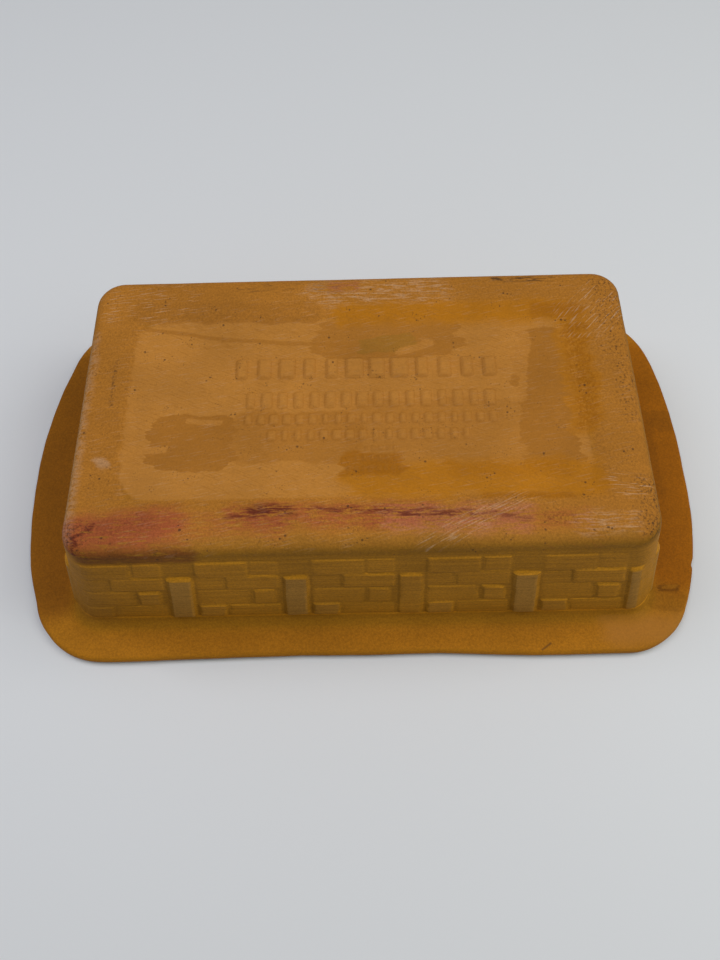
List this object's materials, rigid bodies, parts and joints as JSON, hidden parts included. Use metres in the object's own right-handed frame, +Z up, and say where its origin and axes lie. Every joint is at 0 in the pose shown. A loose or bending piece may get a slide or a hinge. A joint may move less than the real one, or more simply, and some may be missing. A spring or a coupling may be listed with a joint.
{
  "type": "covered casserole dish",
  "caption": "Covered clay baking dish with bowed handle ends and a stone-block relief on its walls, turned over on its rim with its lid standing inside it.",
  "frame": {"origin": "middle of the rim plane, on the surface that the upturned dish and its lid both stand on", "axes": "+X runs along the dish towards a handle end, +Y across it, and +Z up, towards the dish's foot, which is uppermost because the dish is upside down; turn the dish half a turn about X for use"},
  "size_m": [0.39, 0.22, 0.09],
  "materials": {
    "dish_clay": "unglazed fired clay, ochre brown, worn and stained at the foot",
    "lid_clay": "unglazed fired clay, ochre brown"
  },
  "bodies": {
    "lid": {"lid": "lid_clay"},
    "dish": {"baking_dish": "dish_clay"}
  },
  "joints": [
    {"name": "dish_lift", "type": "slide", "parent": "lid", "child": "dish", "axis": [0, 0, 1], "range_m": [0, 0.12]}
  ]
}
